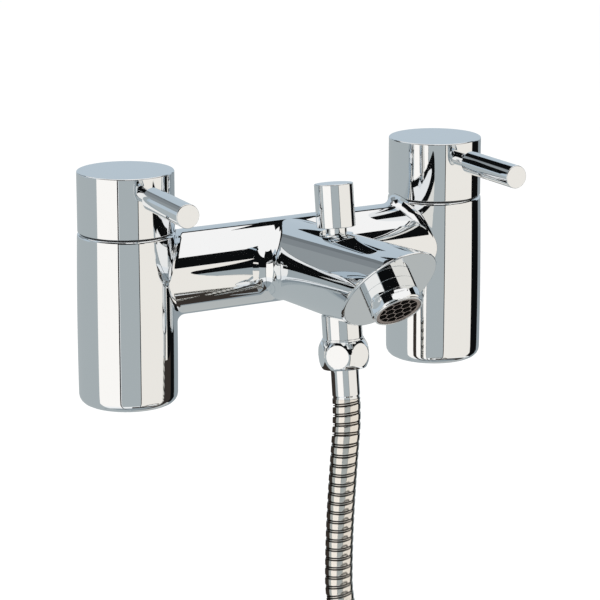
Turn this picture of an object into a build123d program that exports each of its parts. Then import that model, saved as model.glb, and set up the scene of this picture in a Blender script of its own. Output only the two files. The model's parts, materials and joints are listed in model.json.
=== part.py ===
from build123d import *
import os
from math import asin, cos, pi, radians, sin, sqrt

# Bath shower mixer, in millimetres.
# X runs along the bridge, hot side at -X. The spout points along -Y and Z is up.
# The origin lies on the mounting plane, midway between the two inlets.

os.makedirs("parts", exist_ok=True)

# Driving sizes of the casting
pillar_top_radius = 24.1
pillar_middle_radius = 24.7
pillar_foot_radius = 24.5
pillar_rise = 23.7
foot_edge_radius = 4.8
top_edge_radius = 1.5
bridge_length = 180.0
bridge_height = 62.5
bridge_radius = 21.2
bridge_blend_radius = 5.0
spout_reach = 99.2
spout_rise = 3.6
spout_root_radius = 20.4
spout_end_radius = 22.0
spout_blend_radius = 10.0
spout_face_angle = 44.0
spout_rim_radius = 1.0

# Waterways and ports of the casting
inlet_bore_radius = 12.06
inlet_thread_length = 22.0
inlet_neck_radius = 7.5
bridge_way_radius = 7.0
supply_way_radius = 5.5
supply_way_drop = 2.5
spout_way_radius = 5.5
cut_overrun = 2.0
gasket_inner_radius = 16.0
gasket_outer_radius = 19.5
gasket_thickness = 2.0

# Valve in each pillar
seat_drop = 12.5
chamber_radius = 12.3
counterbore_radius = 15.0
counterbore_depth = 5.0
seat_seal_height = 3.0
seat_seal_bore_radius = 6.0
disc_radius = 8.5
disc_thickness = 3.0
disc_port_radius = 6.6
disc_port_inner_radius = 2.0
disc_port_angle = 70.0
spindle_foot_thickness = 3.0
spindle_radius = 4.0
spindle_grip_length = 7.6
barrel_radius = 10.5
barrel_window_height = 5.0
barrel_window_width = 9.0
valve_collar_radius = 14.5
valve_collar_thickness = 2.8
valve_hexagon_across_flats = 22.0
valve_hexagon_height = 4.0
valve_neck_radius = 7.0
valve_neck_height = 2.4
clip_thickness = 1.0
clip_radius = 6.0
seal_width = 1.8
seal_height = 1.8
seal_edge = 0.3

# Handle head, lever and what fixes them
head_radius = 23.9
head_height = 29.9
head_gap = 0.7
head_edge = 0.4
head_wall = 4.0
head_hollow_depth = 8.0
adaptor_radius = 6.5
adaptor_length = 8.5
lever_height = 22.1
lever_neck_radius = 3.6
lever_neck_end = 35.8
lever_grip_radius = 5.8
lever_grip_end = 79.0
lever_stud_radius = 3.0
lever_stud_depth = 10.0
lever_seat_depth = 1.5
lever_edge = 0.4
hot_lever_turn = 5.5
cold_lever_turn = 2.4
grub_screw_radius = 2.5
grub_screw_length = 9.0
grub_socket_across_flats = 2.5
grub_socket_depth = 2.5
glide_ring_radius = 23.0
glide_ring_inner_radius = 19.0
glide_ring_thickness = 0.5
glide_skirt_radius = 20.5
glide_skirt_depth = 2.0

# Diverter and shower outlet, measured along their own leaning axis
diverter_reach = 52.6
diverter_lean = 7.0
knob_radius = 9.6
knob_length = 21.5
knob_lift = 8.0
knob_edge = 0.4
knob_hole_depth = 13.0
gland_flange_radius = 8.2
gland_flange_thickness = 0.8
gland_neck_radius = 5.2
gland_neck_length = 3.0
gland_thread_radius = 7.5
gland_thread_length = 6.0
gland_seat_depth = 1.6
stem_radius = 3.0
stem_nut_radius = 4.4
stem_nut_length = 3.0
upper_ledge_height = 4.0
upper_ledge_thickness = 2.5
upper_ledge_bore_radius = 5.6
diverter_seal_radius = 7.6
diverter_seal_thickness = 1.9
diverter_plate_radius = 6.4
diverter_plate_thickness = 1.1
spring_wire_radius = 0.45
spring_turns = 5
spring_arcs_per_turn = 2
spring_clearance = 0.6
outlet_port_radius = 8.8
outlet_neck_radius = 9.9
outlet_seat_depth = 1.4
outlet_bore_radius = 5.8
outlet_thread_radius = 10.45
outlet_thread_length = 7.0
outlet_length = 18.4

# Aerator, measured outward from the spout's slanted face
aerator_radius = 13.0
aerator_length = 12.0
aerator_thread_radius = 12.0
aerator_thread_length = 7.0
aerator_bore_radius = 11.3
aerator_waist_radius = 10.2
aerator_waist_length = 2.0
aerator_across_flats = 24.6
aerator_flat_length = 4.8
aerator_flat_turn = 30.0
aerator_washer_thickness = 2.0
aerator_washer_bore_radius = 8.5
aerator_edge = 0.5
aerator_lip_length = 1.4
aerator_groove_reach = 5.3
aerator_groove_width = 0.35
aerator_groove_depth = 0.3
flat_run_out = 2.4
insert_inset = 0.5
insert_thickness = 6.0
insert_rim_width = 1.3
cell_pitch = 5.1
cell_wall = 0.6
cell_rings = 3
cell_turn = 30.0

# Shower hose
union_crown_radius = 12.85
union_across_flats = 23.0
union_half_height = 7.1
union_turn = 74.0
union_overlap = 0.6
union_ledge_thickness = 4.3
union_ledge_radius = 7.5
hose_washer_thickness = 2.0
hose_washer_bore_radius = 5.0
tail_flange_thickness = 1.8
tail_flange_radius = 9.8
tail_radius = 5.6
tail_bore_radius = 3.6
ferrule_radius = 6.9
ferrule_length = 18.2
ferrule_set_back = 1.35
ferrule_crimp_radius = 6.6
ferrule_crimp_length = 1.6
hose_radius = 7.0
hose_groove_radius = 6.25
hose_bore_radius = 4.4
hose_rib_pitch = 5.0
hose_rib_width = 3.8
hose_rib_slope = 0.3
hose_lead_length = 24.3
hose_arc_share = 0.45
coil_outer_turn_radius = 78.0
coil_gap = 0.6
coil_layers = [0, 1, 2, 1, 0]
gap_check_steps = 2
gap_check_skips = 16
end_lead_length = 16.0
end_rise_length = 44.0
cone_nut_length = 34.0
cone_nut_mouth_radius = 11.8
cone_nut_small_radius = 8.4
cone_nut_rim_length = 6.0
cone_thread_radius = 10.5
cone_thread_length = 9.0
cone_ledge_thickness = 2.0
cone_washer_thickness = 2.0

# Fits: play between screwed or slid-in pieces, running play, and films between sliding faces
fit_clearance = 0.05
running_clearance = 0.05
face_film = 0.05
glide_film = 0.15
knob_rest_gap = 0.3

# Route of the hose where it hangs free, after its straight lead out of the ferrule
hose_route = [
    (-2.5, -57.6, -68.0),
    (-2.5, -57.6, -112.0),
    (15.2, -69.0, -144.9),
    (41.5, -88.7, -163.9),
    (71.9, -111.5, -163.9),
]
coil_heading = Vector(4, -3, 0).normalized()
straight_limit = 1e-6
hose_side = Vector(-coil_heading.Y, coil_heading.X, 0)


# General shapes

def turned(*corners):
    """Solid of revolution about Z whose outline joins (radius, height) corners."""
    outline = Polyline(*[(r, 0, z) for r, z in corners], close=True)
    return revolve(make_face(outline), Axis.Z)


def ring(outer, inner, low, high):
    """Flat ring about Z between two heights."""
    return turned((inner, low), (outer, low), (outer, high), (inner, high))


def rod(radius, low, high):
    """Cylinder about Z between two heights."""
    return Pos(0, 0, low) * Cylinder(radius, high - low, align=(Align.CENTER, Align.CENTER, Align.MIN))


def hexagon(across_flats, low, high):
    """Hexagonal prism about Z between two heights."""
    corner_radius = across_flats / sqrt(3)
    return Pos(0, 0, low) * extrude(RegularPolygon(corner_radius, 6), high - low)


def seal_ring(outer, inner, low, high):
    """Rubber ring with broken edges."""
    body = ring(outer, inner, low, high)
    return chamfer(body.edges(), seal_edge)


def biarc(start, start_way, end, end_way):
    """Two arcs that join two points, tangent to a direction at each."""
    chord = end - start
    ways = start_way + end_way
    bend = 2 * (start_way.dot(end_way) - 1)
    pull = -2 * chord.dot(ways)
    root = sqrt(pull * pull - 4 * bend * chord.dot(chord))
    if abs(bend) < straight_limit:
        reach = -chord.dot(chord) / pull
    else:
        reach = (-pull - root) / (2 * bend)
    first = start + start_way * reach
    second = end - end_way * reach
    middle = (first + second) * 0.5
    way = (second - first).normalized()
    return [Edge.make_tangent_arc(start, start_way, middle), Edge.make_tangent_arc(middle, way, end)]


def save(shape, name):
    """Write one named piece."""
    export_step(shape, "parts/" + name + ".step")


# Places

half_bridge = bridge_length / 2
pillar_places = {"hot": -half_bridge, "cold": half_bridge}
lever_turns = {"hot": -hot_lever_turn, "cold": -cold_lever_turn}

spout_slope = asin(spout_rise / spout_reach)
spout_direction = Vector(0, -cos(spout_slope), sin(spout_slope))
spout_root = Vector(0, 0, bridge_height)
spout_face_centre = Vector(0, -spout_reach, bridge_height + spout_rise)
face_tilt = radians(spout_face_angle)
face_normal = Vector(0, -sin(face_tilt), -cos(face_tilt))
aerator_plane = Plane(spout_face_centre, x_dir=(1, 0, 0), z_dir=face_normal)

diverter_centre = Vector(0, -diverter_reach, bridge_height + spout_rise * diverter_reach / spout_reach)
lean = radians(diverter_lean)
diverter_up = Vector(0, sin(lean), cos(lean))
diverter_plane = Plane(diverter_centre, x_dir=(1, 0, 0), z_dir=diverter_up)


def spout_radius_at(reach):
    """Outer radius of the spout at a distance in front of the bridge's axis."""
    return spout_root_radius + (spout_end_radius - spout_root_radius) * reach / spout_reach


# Levels along the diverter's axis
crown_level = spout_radius_at(diverter_reach)
gland_seat_level = crown_level - gland_seat_depth
gland_top_level = gland_seat_level + gland_flange_thickness + gland_neck_length
gland_low_level = gland_seat_level - gland_thread_length
knob_low_level = gland_top_level + knob_rest_gap
knob_top_level = knob_low_level + knob_length
outlet_seat_level = -crown_level + outlet_seat_depth
lower_seal_top = upper_ledge_height - knob_lift - diverter_seal_thickness - diverter_plate_thickness
lower_seal_low = lower_seal_top - diverter_seal_thickness
plate_top = lower_seal_top + diverter_plate_thickness
upper_seal_top = plate_top + diverter_seal_thickness - face_film
nipple_top_level = lower_seal_low - face_film
outlet_end_level = outlet_seat_level - outlet_length
washer_low_level = outlet_end_level - hose_washer_thickness
tail_flange_low = washer_low_level - tail_flange_thickness
union_ledge_top = tail_flange_low - face_film
union_low_level = union_ledge_top - union_ledge_thickness
union_centre_level = union_low_level + union_half_height
union_top_level = union_centre_level + union_half_height
ferrule_top_level = union_ledge_top - ferrule_set_back
ferrule_low_level = ferrule_top_level - ferrule_length
hose_exit = diverter_plane.from_local_coords(Vector(0, 0, ferrule_low_level))

# Levels in a pillar, above the mounting plane
pillar_height = bridge_height + pillar_rise
pillar_top = pillar_height
seat_height = bridge_height - seat_drop
collar_seat = pillar_top - counterbore_depth
fixed_disc_low = seat_height + seat_seal_height
moving_disc_low = fixed_disc_low + disc_thickness + face_film
spindle_foot_low = moving_disc_low + disc_thickness
spindle_foot_top = spindle_foot_low + spindle_foot_thickness
collar_top = collar_seat + valve_collar_thickness
hexagon_top = collar_top + valve_hexagon_height
neck_top = hexagon_top + valve_neck_height
clip_low = neck_top + face_film
clip_top = clip_low + clip_thickness
head_low = pillar_top + head_gap
head_top = head_low + head_height
socket_low = head_low + head_hollow_depth
socket_top = socket_low + adaptor_length
spindle_head_height = socket_low + spindle_grip_length
lever_level = head_low + lever_height
grub_level = socket_low + adaptor_length / 2


# Body casting

def pillar(x):
    """Solid pillar, slightly barrelled, with a rounded foot and shoulder."""
    base = (0, 0, 0)
    foot = (pillar_foot_radius, 0, 0)
    waist = (pillar_middle_radius, 0, pillar_height / 2)
    shoulder = (pillar_top_radius, 0, pillar_height)
    crown = (0, 0, pillar_height)
    outline = Wire([Line(base, foot), ThreePointArc(foot, waist, shoulder), Line(shoulder, crown), Line(crown, base)])
    body = revolve(make_face(outline), Axis.Z)
    foot = body.edges().group_by(Axis.Z)[0]
    body = fillet(foot, foot_edge_radius)
    top = body.edges().group_by(Axis.Z)[-1]
    body = fillet(top, top_edge_radius)
    return Pos(x, 0, 0) * body


def spout_blank():
    """Round spout, widening to its end, cut off along the slanted face."""
    length = spout_reach + 2 * spout_end_radius
    end_radius = spout_radius_at(length)
    axis_plane = Plane(spout_root, x_dir=(1, 0, 0), z_dir=spout_direction)
    cone = axis_plane * turned((0, 0), (spout_root_radius, 0), (end_radius, length), (0, length))
    return split(cone, bisect_by=aerator_plane, keep=Keep.BOTTOM)


def casting_outside():
    """Pillars, bridge and spout as one blended form."""
    pillars = pillar(pillar_places["hot"]) + pillar(pillar_places["cold"])
    bridge = Pos(0, 0, bridge_height) * Rot(0, 90, 0) * Cylinder(bridge_radius, bridge_length)
    frame = pillars + bridge
    joints = new_edges(pillars, bridge, combined=frame)
    frame = fillet(joints, bridge_blend_radius)
    spout = spout_blank()
    whole = frame + spout
    root = new_edges(frame, spout, combined=whole)
    whole = fillet(root, spout_blend_radius)
    rim = [e for e in whole.edges() if abs((e.center() - spout_face_centre).dot(face_normal)) < face_film]
    return fillet(rim, spout_rim_radius)


def pillar_bores(x):
    """Inlet, valve chamber, counterbore, ring recess and gasket groove of one pillar."""
    inlet = rod(inlet_bore_radius, -cut_overrun, inlet_thread_length)
    neck = rod(inlet_neck_radius, inlet_thread_length - cut_overrun, seat_height + cut_overrun)
    chamber = rod(chamber_radius, seat_height, collar_seat + cut_overrun)
    counterbore = rod(counterbore_radius, collar_seat, pillar_top + cut_overrun)
    recess = rod(glide_skirt_radius, pillar_top - glide_skirt_depth, pillar_top + cut_overrun)
    groove = ring(gasket_outer_radius, gasket_inner_radius, -cut_overrun, gasket_thickness)
    return Pos(x, 0, 0) * (inlet + neck + chamber + counterbore + recess + groove)


def waterways():
    """Passage along the bridge, supply to the diverter and passage on to the spout's end."""
    bridge_way = Pos(0, 0, bridge_height) * Rot(0, 90, 0) * Cylinder(bridge_way_radius, bridge_length)
    supply_start = spout_root - Vector(0, 0, supply_way_drop)
    supply_plane = Plane(supply_start, x_dir=(1, 0, 0), z_dir=spout_direction)
    supply = supply_plane * rod(supply_way_radius, 0, diverter_reach)
    way_level = upper_ledge_height + spout_way_radius
    way_start = diverter_plane.from_local_coords(Vector(0, 0, way_level))
    way_length = spout_reach - diverter_reach - aerator_washer_thickness
    spout_plane = Plane(way_start, x_dir=(1, 0, 0), z_dir=spout_direction)
    return bridge_way + supply + spout_plane * rod(spout_way_radius, 0, way_length)


def diverter_bores():
    """Gland seat and thread, upper chamber, ledge and lower chamber, about the leaning axis."""
    ledge_top = upper_ledge_height + upper_ledge_thickness
    seat = rod(gland_flange_radius + knob_rest_gap, gland_seat_level, crown_level + cut_overrun)
    upper = rod(gland_thread_radius, ledge_top, gland_seat_level + cut_overrun)
    opening = rod(upper_ledge_bore_radius, upper_ledge_height - cut_overrun, ledge_top + cut_overrun)
    lower = rod(outlet_port_radius, outlet_seat_level - cut_overrun, upper_ledge_height)
    outlet_seat = rod(outlet_neck_radius + fit_clearance, -crown_level - cut_overrun, outlet_seat_level)
    return diverter_plane * (seat + upper + opening + lower + outlet_seat)


def aerator_port():
    """Threaded port behind the spout's face."""
    depth = aerator_thread_length + aerator_washer_thickness
    return aerator_plane * rod(aerator_thread_radius + fit_clearance, -depth, cut_overrun)


def body_casting():
    body = casting_outside()
    for x in pillar_places.values():
        body -= pillar_bores(x)
    body -= waterways()
    body -= diverter_bores()
    body -= aerator_port()
    return body


# Valve in a pillar

def disc_ports(low, high):
    """Two opposite sector openings of a ceramic disc."""
    half = radians(disc_port_angle / 2)
    middle_radius = disc_port_radius
    inner = disc_port_inner_radius
    side_x = middle_radius * cos(half)
    side_y = middle_radius * sin(half)
    near_x = inner * cos(half)
    near_y = inner * sin(half)
    arc = ThreePointArc((side_x, side_y), (middle_radius, 0), (side_x, -side_y))
    edges = [Line((near_x, near_y), (side_x, side_y)), arc, Line((side_x, -side_y), (near_x, -near_y))]
    edges.append(Line((near_x, -near_y), (near_x, near_y)))
    sector = make_face(Wire(edges))
    port = Pos(0, 0, low) * extrude(sector, high - low)
    return port + Rot(0, 0, 180) * port


def fixed_disc():
    high = fixed_disc_low + disc_thickness
    ports = disc_ports(fixed_disc_low - cut_overrun, high + cut_overrun)
    return rod(disc_radius, fixed_disc_low, high) - ports


def moving_disc():
    """Disc a quarter turn from the fixed one's openings, so the valve is shut."""
    ports = Rot(0, 0, 90) * disc_ports(moving_disc_low - cut_overrun, spindle_foot_low + cut_overrun)
    return rod(disc_radius, moving_disc_low, spindle_foot_low) - ports


def seat_seal():
    return seal_ring(disc_radius, seat_seal_bore_radius, seat_height, fixed_disc_low)


def spindle():
    """Spindle with a round foot that drives the moving disc."""
    foot = rod(disc_radius - fit_clearance, spindle_foot_low, spindle_foot_top)
    return foot + rod(spindle_radius, spindle_foot_top, spindle_head_height)


def valve_body():
    """Brass body: windowed barrel, threaded middle, collar, hexagon and neck."""
    cavity = disc_radius + running_clearance
    bore = spindle_radius + running_clearance
    thread = chamber_radius - fit_clearance
    window_low = moving_disc_low
    barrel_top = window_low + barrel_window_height + disc_thickness
    groove_low = hexagon_top - seal_height
    body = turned(
        (cavity, seat_height),
        (barrel_radius, seat_height),
        (barrel_radius, barrel_top),
        (thread, barrel_top + thread - barrel_radius),
        (thread, collar_seat),
        (valve_collar_radius, collar_seat),
        (valve_collar_radius, collar_top),
        (bore, collar_top),
        (bore, spindle_foot_top + face_film),
        (cavity, spindle_foot_top + face_film),
    )
    body += hexagon(valve_hexagon_across_flats, collar_top, hexagon_top) - rod(bore, collar_top, hexagon_top)
    body += ring(valve_neck_radius, bore, hexagon_top, neck_top)
    body -= rod(spindle_radius + seal_width, groove_low, hexagon_top)
    window = Box(2 * chamber_radius, barrel_window_width, barrel_window_height)
    body -= Pos(0, 0, window_low + barrel_window_height / 2) * Rot(0, 0, 90) * window
    return body


def spindle_seal():
    outer = spindle_radius + seal_width - fit_clearance
    inner = spindle_radius + running_clearance
    return seal_ring(outer, inner, hexagon_top - seal_height, hexagon_top)


def body_seal():
    """Ring that seals the valve's collar against the counterbore's wall."""
    outer = counterbore_radius
    return seal_ring(outer, outer - seal_width, collar_top, collar_top + seal_height)


def spindle_clip():
    """Open spring clip over the neck."""
    full = ring(clip_radius, spindle_radius, clip_low, clip_top)
    mouth = Box(2 * clip_radius, spindle_radius, 2 * clip_thickness)
    return full - Pos(0, clip_radius, clip_low) * Rot(0, 0, 90) * mouth


def base_gasket():
    return ring(gasket_outer_radius, gasket_inner_radius, 0, gasket_thickness)


def glide_ring():
    """Thin ring on the pillar, with a skirt in its recess, that the head turns over."""
    low = pillar_top - glide_skirt_depth
    high = pillar_top + glide_ring_thickness
    skirt = glide_skirt_radius - fit_clearance
    inner = glide_ring_inner_radius
    flange = glide_ring_radius
    return turned((inner, low), (skirt, low), (skirt, pillar_top), (flange, pillar_top), (flange, high), (inner, high))


# Handle

def outward(angle):
    """Placement that turns local +X to a lever's direction, measured from -Y."""
    return Rot(0, 0, -90 + angle)


def across(radius, near, far, level):
    """Cylinder along +X between two distances from the pillar's axis."""
    place = Pos(near, 0, level) * Rot(0, 90, 0)
    return place * Cylinder(radius, far - near, align=(Align.CENTER, Align.CENTER, Align.MIN))


def handle_head(angle):
    """Cap with a hollow for the valve, a socket for the adaptor and holes for lever and grub screw."""
    body = rod(head_radius, head_low, head_top)
    body = chamfer(body.edges().group_by(Axis.Z)[-1], head_edge)
    body -= rod(head_radius - head_wall, head_low - cut_overrun, socket_low)
    body -= rod(adaptor_radius, socket_low - cut_overrun, socket_top)
    seat = across(lever_neck_radius + fit_clearance, head_radius - lever_seat_depth, head_radius + cut_overrun, 0)
    stud_end = head_radius - lever_seat_depth - lever_stud_depth
    hole = across(lever_stud_radius + fit_clearance, stud_end, head_radius, 0)
    body -= Pos(0, 0, lever_level) * outward(angle) * (seat + hole)
    screw_hole = across(grub_screw_radius, 0, head_radius + cut_overrun, 0)
    body -= Pos(0, 0, grub_level) * outward(180) * screw_hole
    return body


def lever(angle):
    """Lever turned from one bar: stud, neck and flat-ended grip."""
    seat = head_radius - lever_seat_depth
    stud = across(lever_stud_radius, seat - lever_stud_depth, seat, 0)
    neck = across(lever_neck_radius, seat, lever_neck_end, 0)
    grip = across(lever_grip_radius, lever_neck_end, lever_grip_end, 0)
    rims = [e for e in grip.edges() if e.geom_type == GeomType.CIRCLE]
    grip = chamfer(rims, lever_edge)
    return Pos(0, 0, lever_level) * outward(angle) * (stud + neck + grip)


def grub_screw():
    """Socket set screw that clamps the adaptor from the back of the head."""
    body = across(grub_screw_radius, adaptor_radius, adaptor_radius + grub_screw_length, 0)
    socket = hexagon(grub_socket_across_flats, 0, grub_socket_depth + cut_overrun)
    mouth = adaptor_radius + grub_screw_length - grub_socket_depth
    body -= Pos(mouth, 0, 0) * Rot(0, 90, 0) * socket
    return Pos(0, 0, grub_level) * outward(180) * body


def spline_adaptor():
    """Plastic bush between spindle and head."""
    body = rod(adaptor_radius, socket_low, socket_top)
    return body - rod(spindle_radius, socket_low - cut_overrun, spindle_head_height)


# Diverter

def diverter_knob():
    body = rod(knob_radius, knob_low_level, knob_top_level)
    body = chamfer(body.edges().group_by(Axis.Z)[-1], knob_edge)
    body = chamfer(body.edges().group_by(Axis.Z)[0], knob_edge)
    return diverter_plane * (body - rod(stem_radius, knob_low_level - cut_overrun, knob_low_level + knob_hole_depth))


def diverter_gland():
    """Screwed bush with a flange in the spout's crown, a neck under the knob and a seal groove."""
    bore = stem_radius + running_clearance
    thread = gland_thread_radius - fit_clearance
    flange_top = gland_seat_level + gland_flange_thickness
    groove_high = gland_top_level - seal_height
    groove_low = groove_high - seal_height
    body = turned(
        (bore, gland_low_level),
        (thread, gland_low_level),
        (thread, gland_seat_level),
        (gland_flange_radius, gland_seat_level),
        (gland_flange_radius, flange_top),
        (gland_neck_radius, flange_top),
        (gland_neck_radius, gland_top_level),
        (bore, gland_top_level),
    )
    return diverter_plane * (body - rod(stem_radius + seal_width, groove_low, groove_high))


def gland_seal():
    high = gland_top_level - seal_height
    inner = stem_radius + running_clearance
    return diverter_plane * seal_ring(stem_radius + seal_width - fit_clearance, inner, high - seal_height, high)


def diverter_stem():
    """Rod from the seals up into the knob, with a plate between the two seals."""
    low = lower_seal_low - stem_nut_length
    body = rod(stem_radius, low, knob_low_level + knob_hole_depth)
    return diverter_plane * (body + rod(diverter_plate_radius, lower_seal_top, plate_top))


def diverter_seal(low, high):
    return diverter_plane * seal_ring(diverter_seal_radius, stem_radius, low, high)


def stem_nut():
    nut = rod(stem_nut_radius, lower_seal_low - stem_nut_length, lower_seal_low)
    return diverter_plane * (nut - rod(stem_radius, lower_seal_low - 2 * stem_nut_length, lower_seal_low))


def return_spring():
    """Coil spring between the gland and the upper seal."""
    low = upper_seal_top + spring_wire_radius
    high = gland_low_level - spring_wire_radius
    coil_radius = stem_radius + spring_clearance + spring_wire_radius
    rise = (high - low) / (2 * pi * spring_turns)
    steps = spring_turns * spring_arcs_per_turn
    points = []
    ways = []
    for index in range(steps + 1):
        angle = 2 * pi * index / spring_arcs_per_turn
        points.append(Vector(coil_radius * cos(angle), coil_radius * sin(angle), low + rise * angle))
        ways.append(Vector(-coil_radius * sin(angle), coil_radius * cos(angle), rise).normalized())
    edges = []
    for index in range(steps):
        edges += biarc(points[index], ways[index], points[index + 1], ways[index + 1])
    wire = Wire(edges)
    section = Plane(wire @ 0, z_dir=wire % 0) * Circle(spring_wire_radius)
    return diverter_plane * sweep(section, path=wire)


def shower_outlet():
    """Nipple screwed up into the spout, its top face the lower seat of the diverter."""
    port = outlet_port_radius - fit_clearance
    thread_top = outlet_end_level + outlet_thread_length
    body = turned(
        (outlet_bore_radius, outlet_end_level),
        (outlet_thread_radius, outlet_end_level),
        (outlet_thread_radius, thread_top),
        (outlet_neck_radius, thread_top),
        (outlet_neck_radius, outlet_seat_level),
        (port, outlet_seat_level),
        (port, nipple_top_level),
        (outlet_bore_radius, nipple_top_level),
    )
    groove = ring(port + cut_overrun, port - seal_width, outlet_seat_level, outlet_seat_level + seal_height)
    return diverter_plane * (body - groove)


def outlet_seal():
    outer = outlet_port_radius
    inner = outer - fit_clearance - seal_width
    return diverter_plane * seal_ring(outer, inner, outlet_seat_level, outlet_seat_level + seal_height)


# Aerator

def aerator_ring():
    """Ring screwed into the spout's face, with a fine groove and, round its tip, flats that run out in curves."""
    tip = aerator_length
    flats_low = tip - aerator_flat_length
    lip_radius = aerator_across_flats / 2
    lip_low = tip - aerator_lip_length
    groove_floor = aerator_radius - aerator_groove_depth
    groove_end = aerator_groove_reach + aerator_groove_width
    body = turned(
        (aerator_waist_radius, -aerator_thread_length),
        (aerator_thread_radius, -aerator_thread_length),
        (aerator_thread_radius, 0),
        (aerator_radius, 0),
        (aerator_radius, aerator_groove_reach),
        (groove_floor, aerator_groove_reach),
        (groove_floor, groove_end),
        (aerator_radius, groove_end),
        (aerator_radius, lip_low),
        (lip_radius, lip_low + aerator_radius - lip_radius),
        (lip_radius, tip),
        (aerator_bore_radius, tip),
        (aerator_bore_radius, aerator_waist_length),
        (aerator_waist_radius, aerator_waist_length),
    )
    rim = body.edges().group_by(Axis.Z)[-1].sort_by(SortBy.RADIUS)[-1]
    body = fillet(rim, aerator_edge)
    waist = turned(
        (0, -aerator_thread_length),
        (aerator_thread_radius + cut_overrun, -aerator_thread_length),
        (aerator_thread_radius + cut_overrun, flats_low),
        (aerator_radius, flats_low),
        (lip_radius, flats_low + flat_run_out),
        (0, flats_low + flat_run_out),
    )
    keep = waist + Rot(0, 0, aerator_flat_turn) * hexagon(aerator_across_flats, flats_low, tip)
    return aerator_plane * (body & keep)


def aerator_insert():
    """Honeycomb set back a little from the ring's tip."""
    high = aerator_length - insert_inset
    low = high - insert_thickness
    outer = aerator_bore_radius - fit_clearance
    reach = outer - insert_rim_width
    row = cell_pitch * sqrt(3) / 2
    body = rod(outer, low, high)
    cell = Rot(0, 0, cell_turn) * hexagon(cell_pitch - cell_wall, low - cut_overrun, high + cut_overrun)
    span = range(-cell_rings, cell_rings + 1)
    places = [(cell_pitch * (i + j / 2), row * j) for i in span for j in span]
    field = rod(reach, low - cut_overrun, high + cut_overrun)
    for x, y in places:
        if sqrt(x * x + y * y) < reach:
            body -= Pos(x, y, 0) * cell & field
    return aerator_plane * body


def aerator_washer():
    high = -aerator_thread_length
    low = high - aerator_washer_thickness
    return aerator_plane * ring(aerator_thread_radius, aerator_washer_bore_radius, low, high)


# Hose fittings

def hose_union():
    """Hexagon nut turned to a ball, so that its flats end as circles."""
    thread = outlet_thread_radius + running_clearance
    low = union_low_level
    high = union_top_level
    blank = Pos(0, 0, union_centre_level) * Sphere(union_crown_radius)
    prism = Rot(0, 0, union_turn) * hexagon(union_across_flats, low, high)
    nut = (blank & prism) - rod(union_ledge_radius, low - cut_overrun, high)
    return diverter_plane * (nut - rod(thread, union_ledge_top, high + cut_overrun))


def hose_washer():
    washer = ring(tail_flange_radius, hose_washer_bore_radius, washer_low_level, outlet_end_level)
    return diverter_plane * washer


def tail(flange_low, flange_high, end):
    """Flanged tube that the hose is crimped on, its end further along than its flange."""
    return turned(
        (tail_bore_radius, flange_high),
        (tail_flange_radius, flange_high),
        (tail_flange_radius, flange_low),
        (tail_radius, flange_low),
        (tail_radius, end),
        (tail_bore_radius, end),
    )


def ferrule(near, far):
    """Crimped sleeve between two levels, its far end drawn in over the hose."""
    step = ferrule_crimp_length if far > near else -ferrule_crimp_length
    return turned(
        (tail_radius, near),
        (ferrule_radius, near),
        (ferrule_radius, far - step),
        (ferrule_crimp_radius, far - step / 2),
        (ferrule_crimp_radius, far),
        (tail_radius, far),
    )


# Hose

def hose_path():
    """Straight lead out of the ferrule, then the hand-set route with the widest arcs its runs allow."""
    lead_end = diverter_plane.from_local_coords(Vector(0, 0, ferrule_low_level - hose_lead_length))
    points = [hose_exit, lead_end] + [Vector(*p) for p in hose_route]
    runs = [b - a for a, b in zip(points, points[1:])]
    radii = []
    for before, after in zip(runs, runs[1:]):
        half_turn = radians(before.get_angle(after) / 2)
        shorter = min(before.length, after.length)
        radii.append(hose_arc_share * shorter * cos(half_turn) / sin(half_turn))
    print("hose radii", [round(r, 1) for r in radii])
    return FilletPolyline(*points, radius=radii)


def hose_run():
    """Ribbed hose as a ruled loft, bored through."""
    path = hose_path()
    length = path.length
    end_collar = (length % hose_rib_pitch + hose_rib_pitch) / 2
    ribs = round((length - 2 * end_collar) / hose_rib_pitch)
    stations = [(0, hose_radius)]
    for index in range(ribs):
        start = end_collar + index * hose_rib_pitch
        groove_end = start + hose_rib_pitch - hose_rib_width
        stations.append((start, hose_radius))
        stations.append((start + hose_rib_slope, hose_groove_radius))
        stations.append((groove_end - hose_rib_slope, hose_groove_radius))
        stations.append((groove_end, hose_radius))
    stations.append((length, hose_radius))
    sections = []
    for distance, radius in stations:
        share = distance / length
        place = Plane(path @ share, x_dir=hose_side, z_dir=path % share)
        sections.append(place * Circle(radius))
    outside = loft(sections, ruled=True)
    start_plane = Plane(path @ 0, x_dir=hose_side, z_dir=path % 0)
    bore = sweep(start_plane * Circle(hose_bore_radius), path=path)
    print("hose run length", round(length, 1), "ribs", ribs)
    print("bore volume share", round(bore.volume / (pi * hose_bore_radius**2 * length), 4))
    return outside - bore


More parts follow.
